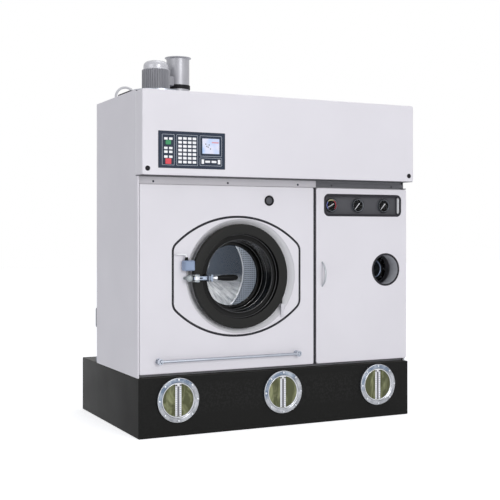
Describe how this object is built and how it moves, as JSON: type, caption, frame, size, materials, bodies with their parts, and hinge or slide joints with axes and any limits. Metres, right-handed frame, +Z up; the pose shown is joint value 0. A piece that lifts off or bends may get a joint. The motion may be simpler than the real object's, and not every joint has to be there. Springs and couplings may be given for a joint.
{
  "type": "dry cleaning machine",
  "caption": "Front-loading dry cleaning machine: solvent base tank, cabinet with round loading door, control header, service door and roof fan.",
  "frame": {"origin": "on the floor under the middle of the bounding box", "axes": "+Z up, the front with the loading door faces -Y, +X to the right seen from the front"},
  "size_m": [1.76, 1.12, 2.198],
  "materials": {
    "white_paint": "satin powder coat",
    "black_paint": "satin paint",
    "frame_paint": "satin paint",
    "grey_paint": "satin paint",
    "motor_paint": "satin paint",
    "black_casting": "painted casting",
    "grey_casting": "painted casting",
    "polished_steel": "polished",
    "brushed_steel": "brushed",
    "zinc_steel": "zinc plated",
    "dark_steel": "blackened",
    "black_rubber": "matt",
    "black_plastic": "semi-gloss",
    "white_plastic": "satin",
    "grey_plastic": "satin",
    "slate_plastic": "satin",
    "blue_plastic": "satin",
    "green_plastic": "gloss",
    "red_plastic": "gloss",
    "display_panel": "gloss",
    "door_glass": "clear",
    "sight_glass": "clear, tinted by the solvent behind it"
  },
  "bodies": {
    "machine": {"left_side_panel": "white_paint", "right_side_panel": "white_paint", "rear_panel": "white_paint", "roof_panel": "white_paint", "front_panel": "white_paint", "door_surround": "white_paint", "header_shell": "white_paint", "base_tank": "black_paint", "sight_flanges": "polished_steel", "sight_glasses": "sight_glass", "level_strips": "white_plastic", "flange_bolts": "zinc_steel", "cabinet_frame": "frame_paint", "surround_seal": "black_rubber", "lintel_strips": "grey_paint", "panel_screws": "zinc_steel", "grab_rail": "brushed_steel", "round_caps": "black_rubber", "control_panel": "slate_plastic", "keypad": "white_plastic", "display": "display_panel", "hinge_bracket": "zinc_steel", "hinge_pins": "zinc_steel", "latch_keeper": "zinc_steel", "lock_box": "blue_plastic", "lock_cable": "white_plastic", "tub": "brushed_steel", "bearing_housing": "black_casting", "shaft_bearings": "zinc_steel", "drive_belt": "black_rubber", "drive_motor": "motor_paint", "gauge_plate": "grey_paint", "gauge_cases": "black_plastic", "still_vessel": "brushed_steel", "still_cover": "black_casting", "fan_housing": "brushed_steel", "fan_motor": "motor_paint", "exhaust_duct": "brushed_steel", "roof_hose": "grey_plastic", "pump": "grey_casting", "pump_motor": "motor_paint"},
    "loading_door": {"door_ring": "black_casting", "door_glass": "door_glass", "door_gasket": "black_rubber", "latch_pin": "dark_steel"},
    "latch": {"latch_lever": "polished_steel", "latch_grip": "black_plastic"},
    "service_door": {"service_door": "white_paint", "service_door_trims": "black_rubber", "pull_handle": "polished_steel"},
    "drum": {"drum": "polished_steel", "drum_shaft": "zinc_steel", "drum_pulley": "black_casting"},
    "motor_rotor": {"motor_pulley": "zinc_steel"},
    "fan_rotor": {"fan_impeller": "brushed_steel"},
    "left_needle": {"left_needle": "white_plastic"},
    "middle_needle": {"middle_needle": "white_plastic"},
    "right_needle": {"right_needle": "white_plastic"},
    "start_button": {"start_button": "green_plastic"},
    "stop_button": {"stop_button": "red_plastic"}
  },
  "joints": [
    {"name": "door_swing", "type": "hinge", "parent": "machine", "child": "loading_door", "pos_m": [0.005, -0.47, 0.875], "axis": [0, 0, 1], "range_deg": [0, 105]},
    {"name": "latch_swing", "type": "hinge", "parent": "loading_door", "child": "latch", "pos_m": [-0.5475, -0.53, 0.87], "axis": [0, 0, -1], "range_deg": [0, 100]},
    {"name": "service_swing", "type": "hinge", "parent": "machine", "child": "service_door", "pos_m": [0.87, -0.47, 0.868], "axis": [0, 0, 1], "range_deg": [0, 110]},
    {"name": "drum_spin", "type": "hinge", "parent": "machine", "child": "drum", "pos_m": [-0.264, 0, 0.875], "axis": [0, 1, 0], "continuous": true},
    {"name": "motor_spin", "type": "hinge", "parent": "machine", "child": "motor_rotor", "pos_m": [0.125, 0.2, 0.452], "axis": [0, 1, 0], "continuous": true},
    {"name": "fan_spin", "type": "hinge", "parent": "machine", "child": "fan_rotor", "pos_m": [-0.588, 0.014, 1.94], "axis": [0, 0, 1], "continuous": true},
    {"name": "left_needle_turn", "type": "hinge", "parent": "machine", "child": "left_needle", "pos_m": [0.354, -0.46, 1.288], "axis": [0, 1, 0], "range_deg": [0, 270]},
    {"name": "middle_needle_turn", "type": "hinge", "parent": "machine", "child": "middle_needle", "pos_m": [0.54, -0.46, 1.288], "axis": [0, 1, 0], "range_deg": [0, 270]},
    {"name": "right_needle_turn", "type": "hinge", "parent": "machine", "child": "right_needle", "pos_m": [0.726, -0.46, 1.288], "axis": [0, 1, 0], "range_deg": [0, 270]},
    {"name": "start_press", "type": "slide", "parent": "machine", "child": "start_button", "axis": [0, 1, 0], "range_m": [0, 0.0025], "stiffness_N_per_m": 400},
    {"name": "stop_press", "type": "slide", "parent": "machine", "child": "stop_button", "axis": [0, 1, 0], "range_m": [0, 0.0025], "stiffness_N_per_m": 400}
  ],
  "couplings": [
    {"joint": "motor_spin", "follows": "drum_spin", "ratio": 5.3529}
  ]
}
